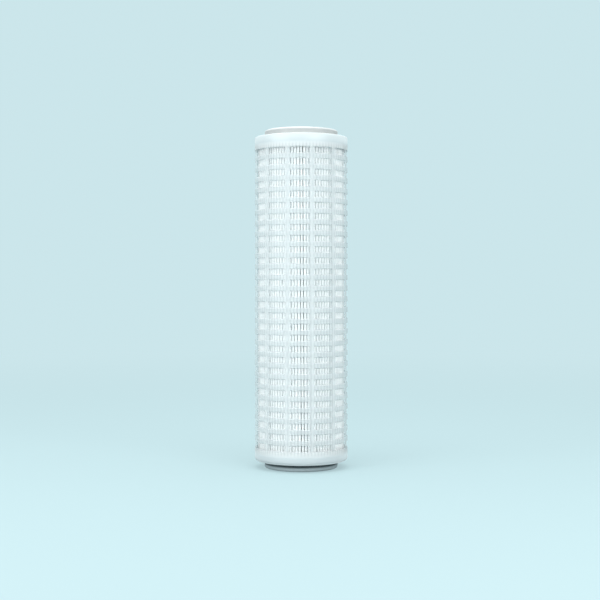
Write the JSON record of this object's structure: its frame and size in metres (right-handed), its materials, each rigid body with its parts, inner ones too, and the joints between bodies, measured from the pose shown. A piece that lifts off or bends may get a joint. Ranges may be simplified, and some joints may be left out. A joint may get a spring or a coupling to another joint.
{
  "type": "filter cartridge",
  "caption": "White pleated filter cartridge: windowed cylindrical cage with flat end caps, an open bore right through and a flat sealing gasket at each end.",
  "frame": {"origin": "centre of the lower gasket's sealing face, on the bore's axis", "axes": "+Z along the bore from the lower end to the upper end; -Y faces the picture's camera, with a column of windows in the middle of that side"},
  "size_m": [0.07, 0.07, 0.254],
  "materials": {
    "cage_plastic": "natural polypropylene, satin, slightly milky",
    "cap_plastic": "white polypropylene, satin",
    "core_plastic": "natural polypropylene, satin",
    "support_fabric": "spunbonded polypropylene, matt, fine fibres",
    "filter_fabric": "melt-blown polypropylene, matt",
    "upper_gasket_rubber": "pale grey elastomer, matt",
    "lower_gasket_rubber": "dark grey elastomer, matt"
  },
  "bodies": {
    "root": {"outer_cage": "cage_plastic", "inner_core": "core_plastic", "top_end_cap": "cap_plastic", "bottom_end_cap": "cap_plastic", "top_gasket": "upper_gasket_rubber", "bottom_gasket": "lower_gasket_rubber", "upstream_support": "support_fabric", "filter_medium": "filter_fabric", "downstream_support": "support_fabric"}
  },
  "joints": []
}
